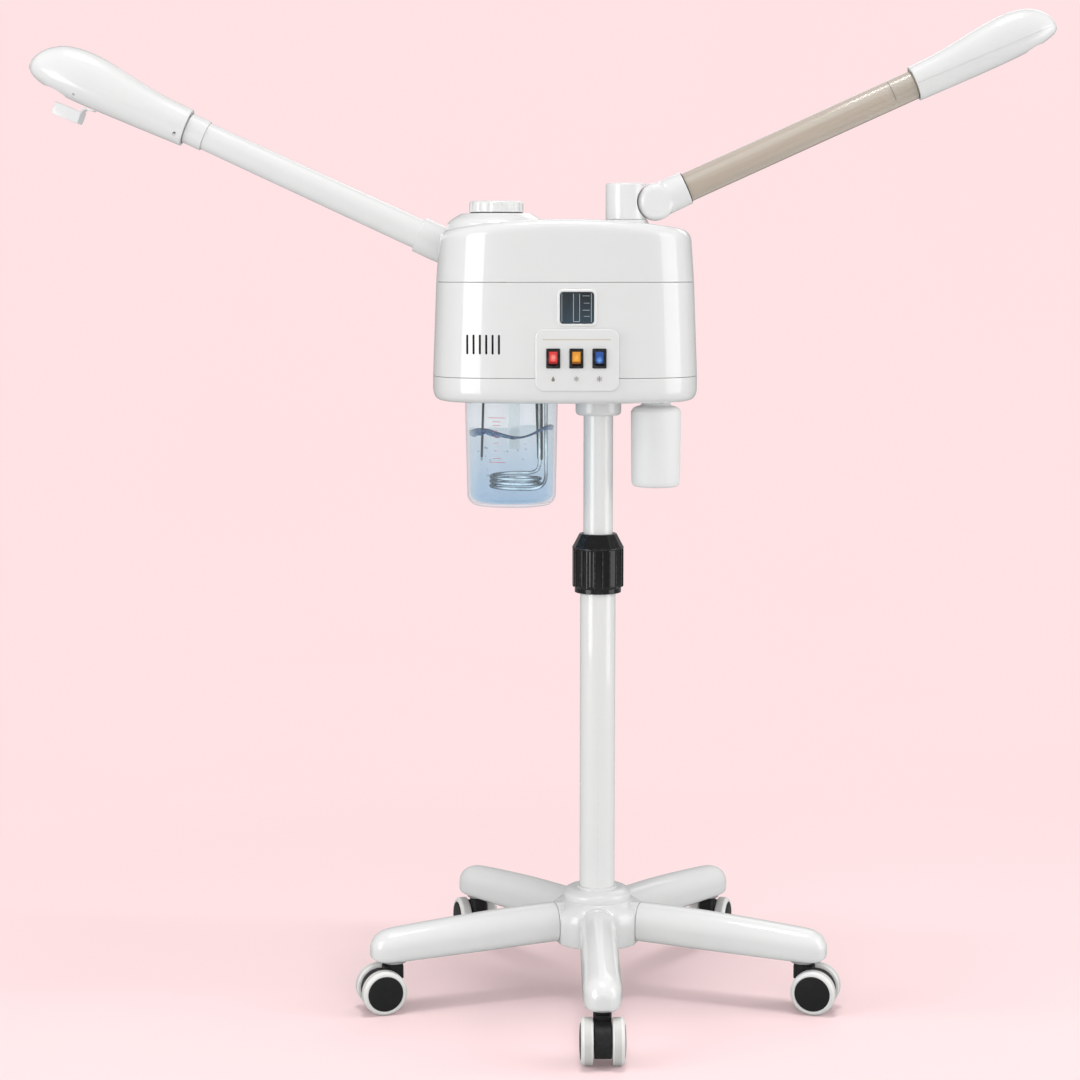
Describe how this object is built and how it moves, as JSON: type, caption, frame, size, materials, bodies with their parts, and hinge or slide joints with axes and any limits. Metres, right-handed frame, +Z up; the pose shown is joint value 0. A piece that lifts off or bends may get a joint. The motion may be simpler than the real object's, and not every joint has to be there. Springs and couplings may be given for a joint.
{
  "type": "facial steamer",
  "caption": "Floor-standing facial steamer: a casing on a telescopic column with a castered star base, a glass boiler jar, a mist bottle and two jointed nozzle arms.",
  "frame": {"origin": "centre of the base hub's flat underside, on the column axis; the floor is 60 mm below", "axes": "+Z up along the column, -Y out of the control panel (front), +X to the right seen from the front"},
  "size_m": [1.1236, 0.5097, 1.0884],
  "materials": {
    "white_gloss": "glossy white moulded plastic",
    "white_metal": "white powder coat",
    "black_gloss": "glossy black",
    "black_matte": "fine matte black",
    "wheel_grey": "light grey",
    "red_lens": "translucent red",
    "amber_lens": "translucent amber",
    "blue_lens": "translucent blue",
    "dark_glass": "dark tinted window",
    "clear_glass": "clear borosilicate glass",
    "smoked_plastic": "smoked translucent",
    "clear_plastic": "clear",
    "frosted_plastic": "frosted translucent white",
    "steel": "bright drawn steel",
    "aluminium": "cast, satin",
    "silicone": "soft milky silicone",
    "board_green": "solder-mask green",
    "grey_plastic": "moulded grey"
  },
  "bodies": {
    "base": {"base_hub": "white_gloss", "leg_front": "white_gloss", "leg_front_left": "white_gloss", "leg_front_right": "white_gloss", "leg_rear_left": "white_gloss", "leg_rear_right": "white_gloss", "lower_tube": "white_metal", "split_collet": "grey_plastic"},
    "collar": {"lock_collar": "black_gloss"},
    "column": {"upper_tube": "white_metal"},
    "head": {"pole_flange": "white_gloss", "base_tray": "white_gloss", "main_housing": "white_gloss", "top_cover": "white_gloss", "control_panel": "white_gloss", "switch_frame_red": "black_gloss", "switch_frame_amber": "black_gloss", "switch_frame_blue": "black_gloss", "level_window": "dark_glass", "boiler_head": "aluminium", "jar_gasket": "silicone", "heating_coil": "steel", "level_electrode": "steel", "thermostat_probe": "black_matte", "steam_duct": "silicone", "filler_funnel": "grey_plastic", "mist_tank": "frosted_plastic", "mist_duct": "silicone", "ultrasonic_disc": "steel", "fan_frame": "black_matte", "circuit_board": "board_green", "power_inlet": "black_matte"},
    "cap": {"filler_cap": "white_gloss"},
    "jar": {"glass_jar": "clear_glass"},
    "bottle": {"cold_bottle": "frosted_plastic"},
    "impeller": {"fan_impeller": "grey_plastic"},
    "hot_turret": {"hot_turret": "white_gloss"},
    "hot_arm": {"hot_elbow": "white_gloss", "hot_arm_tube": "white_gloss"},
    "hot_nozzle": {"hot_nozzle_upper": "white_gloss", "hot_nozzle_lower": "white_gloss"},
    "aroma_tray": {"aroma_tray": "clear_plastic"},
    "cold_turret": {"cold_turret": "white_gloss"},
    "cold_arm": {"cold_elbow": "white_gloss", "cold_arm_tube": "smoked_plastic"},
    "cold_nozzle": {"cold_nozzle_upper": "white_gloss", "cold_nozzle_lower": "white_gloss"},
    "rocker_red": {"rocker_red": "red_lens"},
    "rocker_amber": {"rocker_amber": "amber_lens"},
    "rocker_blue": {"rocker_blue": "blue_lens"},
    "caster_front": {"caster_body_front": "black_matte"},
    "wheels_front": {"wheel_set_front": "wheel_grey"},
    "caster_front_left": {"caster_body_front_left": "black_matte"},
    "wheels_front_left": {"wheel_set_front_left": "wheel_grey"},
    "caster_front_right": {"caster_body_front_right": "black_matte"},
    "wheels_front_right": {"wheel_set_front_right": "wheel_grey"},
    "caster_rear_left": {"caster_body_rear_left": "black_matte"},
    "wheels_rear_left": {"wheel_set_rear_left": "wheel_grey"},
    "caster_rear_right": {"caster_body_rear_right": "black_matte"},
    "wheels_rear_right": {"wheel_set_rear_right": "wheel_grey"}
  },
  "joints": [
    {"name": "column_lift", "type": "slide", "parent": "base", "child": "column", "axis": [0, 0, 1], "range_m": [-0.12, 0.12]},
    {"name": "column_turn", "type": "hinge", "parent": "column", "child": "head", "pos_m": [0, 0, 0.646], "axis": [0, 0, 1], "range_deg": [-180, 180]},
    {"name": "collar_twist", "type": "hinge", "parent": "base", "child": "collar", "pos_m": [0, 0, 0.426], "axis": [0, 0, 1], "range_deg": [0, 120]},
    {"name": "arm_hot_turn", "type": "hinge", "parent": "head", "child": "hot_turret", "pos_m": [-0.128, 0.064, 0.74], "axis": [0, 0, 1], "range_deg": [-90, 15]},
    {"name": "arm_hot_tilt", "type": "hinge", "parent": "hot_turret", "child": "hot_arm", "pos_m": [-0.156, 0.064, 0.7684], "axis": [0, 1, 0], "range_deg": [-24, 32]},
    {"name": "arm_hot_twist", "type": "hinge", "parent": "hot_arm", "child": "hot_nozzle", "pos_m": [-0.4566, 0.064, 0.9059], "axis": [-0.9094, 0, 0.416], "range_deg": [-90, 90]},
    {"name": "aroma_tray_pull", "type": "slide", "parent": "hot_nozzle", "child": "aroma_tray", "axis": [-0.3795, 0, -0.9252], "range_m": [0, 0.02]},
    {"name": "arm_cold_turn", "type": "hinge", "parent": "head", "child": "cold_turret", "pos_m": [0.0295, 0, 0.8033], "axis": [0, 0, 1], "range_deg": [-120, 120]},
    {"name": "arm_cold_tilt", "type": "hinge", "parent": "cold_turret", "child": "cold_arm", "pos_m": [0.0617, 0, 0.8226], "axis": [0, -1, 0], "range_deg": [-22, 28]},
    {"name": "arm_cold_twist", "type": "hinge", "parent": "cold_arm", "child": "cold_nozzle", "pos_m": [0.3408, 0, 0.9483], "axis": [0.9118, 0, 0.4106], "range_deg": [-90, 90]},
    {"name": "bottle_drop", "type": "slide", "parent": "head", "child": "bottle", "axis": [0, 0, -1], "range_m": [0, 0.1]},
    {"name": "cap_lift", "type": "slide", "parent": "head", "child": "cap", "axis": [0, 0, 1], "range_m": [0, 0.05]},
    {"name": "jar_drop", "type": "slide", "parent": "head", "child": "jar", "axis": [0, 0, -1], "range_m": [0, 0.13]},
    {"name": "fan_spin", "type": "hinge", "parent": "head", "child": "impeller", "pos_m": [-0.014, 0.052, 0.6726], "axis": [0, 0, 1], "continuous": true},
    {"name": "rocker_red_press", "type": "hinge", "parent": "head", "child": "rocker_red", "pos_m": [-0.0504, -0.1006, 0.6566], "axis": [1, 0, 0], "range_deg": [0, 18]},
    {"name": "rocker_amber_press", "type": "hinge", "parent": "head", "child": "rocker_amber", "pos_m": [-0.026, -0.1006, 0.6566], "axis": [1, 0, 0], "range_deg": [0, 18]},
    {"name": "rocker_blue_press", "type": "hinge", "parent": "head", "child": "rocker_blue", "pos_m": [-0.0017, -0.1006, 0.6566], "axis": [1, 0, 0], "range_deg": [0, 18]},
    {"name": "swivel_front", "type": "hinge", "parent": "base", "child": "caster_front", "pos_m": [0, -0.236, -0.006], "axis": [0, 0, 1], "continuous": true},
    {"name": "wheel_roll_front", "type": "hinge", "parent": "caster_front", "child": "wheels_front", "pos_m": [0, -0.251, -0.0355], "axis": [1, 0, 0], "continuous": true},
    {"name": "swivel_front_left", "type": "hinge", "parent": "base", "child": "caster_front_left", "pos_m": [-0.22445, -0.07293, -0.006], "axis": [0, 0, 1], "continuous": true},
    {"name": "wheel_roll_front_left", "type": "hinge", "parent": "caster_front_left", "child": "wheels_front_left", "pos_m": [-0.23879, -0.07731, -0.0355], "axis": [0.2924, -0.9563, 0], "continuous": true},
    {"name": "swivel_front_right", "type": "hinge", "parent": "base", "child": "caster_front_right", "pos_m": [0.22445, -0.07293, -0.006], "axis": [0, 0, 1], "continuous": true},
    {"name": "wheel_roll_front_right", "type": "hinge", "parent": "caster_front_right", "child": "wheels_front_right", "pos_m": [0.23879, -0.07731, -0.0355], "axis": [0.2924, 0.9563, 0], "continuous": true},
    {"name": "swivel_rear_left", "type": "hinge", "parent": "base", "child": "caster_rear_left", "pos_m": [-0.13872, 0.19093, -0.006], "axis": [0, 0, 1], "continuous": true},
    {"name": "wheel_roll_rear_left", "type": "hinge", "parent": "caster_rear_left", "child": "wheels_rear_left", "pos_m": [-0.1431, 0.20527, -0.0355], "axis": [-0.9563, -0.2924, 0], "continuous": true},
    {"name": "swivel_rear_right", "type": "hinge", "parent": "base", "child": "caster_rear_right", "pos_m": [0.13872, 0.19093, -0.006], "axis": [0, 0, 1], "continuous": true},
    {"name": "wheel_roll_rear_right", "type": "hinge", "parent": "caster_rear_right", "child": "wheels_rear_right", "pos_m": [0.1431, 0.20527, -0.0355], "axis": [-0.9563, 0.2924, 0], "continuous": true}
  ]
}
